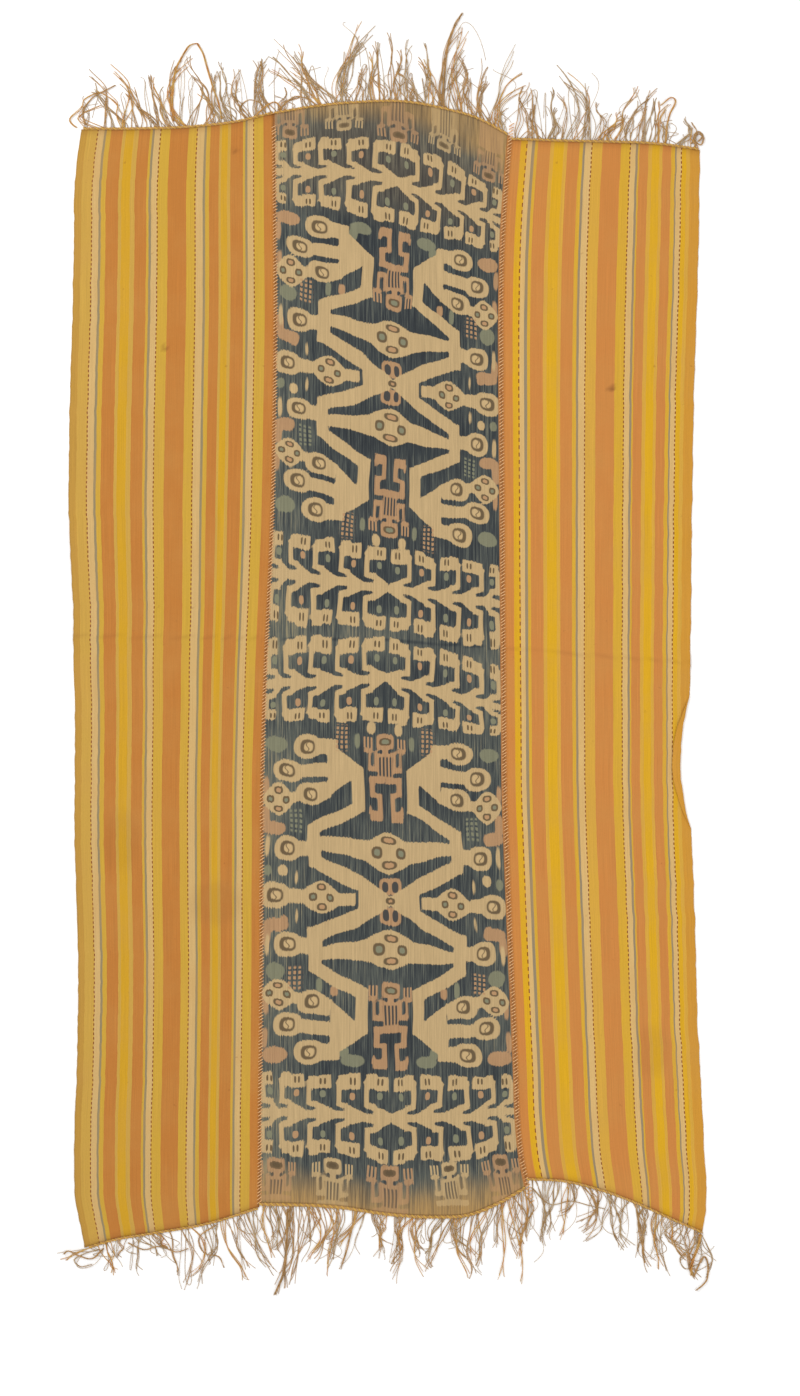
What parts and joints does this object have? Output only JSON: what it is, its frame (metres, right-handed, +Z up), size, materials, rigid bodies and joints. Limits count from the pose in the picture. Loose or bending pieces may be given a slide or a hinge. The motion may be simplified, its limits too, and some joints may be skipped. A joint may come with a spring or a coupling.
{
  "type": "ikat woven wrap cloth",
  "caption": "Hand-woven cotton wrap cloth of striped side panels and an indigo ikat centre panel, laid flat, with a loose warp fringe at both ends.",
  "frame": {"origin": "middle of the cloth's box, on the surface that it lies on", "axes": "+X across the cloth to the right, +Y along its length towards the top of the picture, +Z up off the surface"},
  "size_m": [1.1428, 2.2827, 0.0045],
  "materials": {
    "striped_cotton": "warp-faced plain weave in orange, yellow, ochre, cream and grey stripes, matt",
    "ikat_cotton": "warp-faced plain weave with indigo and cream warp ikat, matt",
    "fringe_yarn": "twined edge and loose two-ply cotton warp ends, matt"
  },
  "bodies": {
    "root": {"panel_left": "striped_cotton", "panel_centre": "ikat_cotton", "panel_right": "striped_cotton", "fringe_top_left": "fringe_yarn", "fringe_top_centre": "fringe_yarn", "fringe_top_right": "fringe_yarn", "fringe_bottom_left": "fringe_yarn", "fringe_bottom_centre": "fringe_yarn", "fringe_bottom_right": "fringe_yarn"}
  },
  "joints": []
}
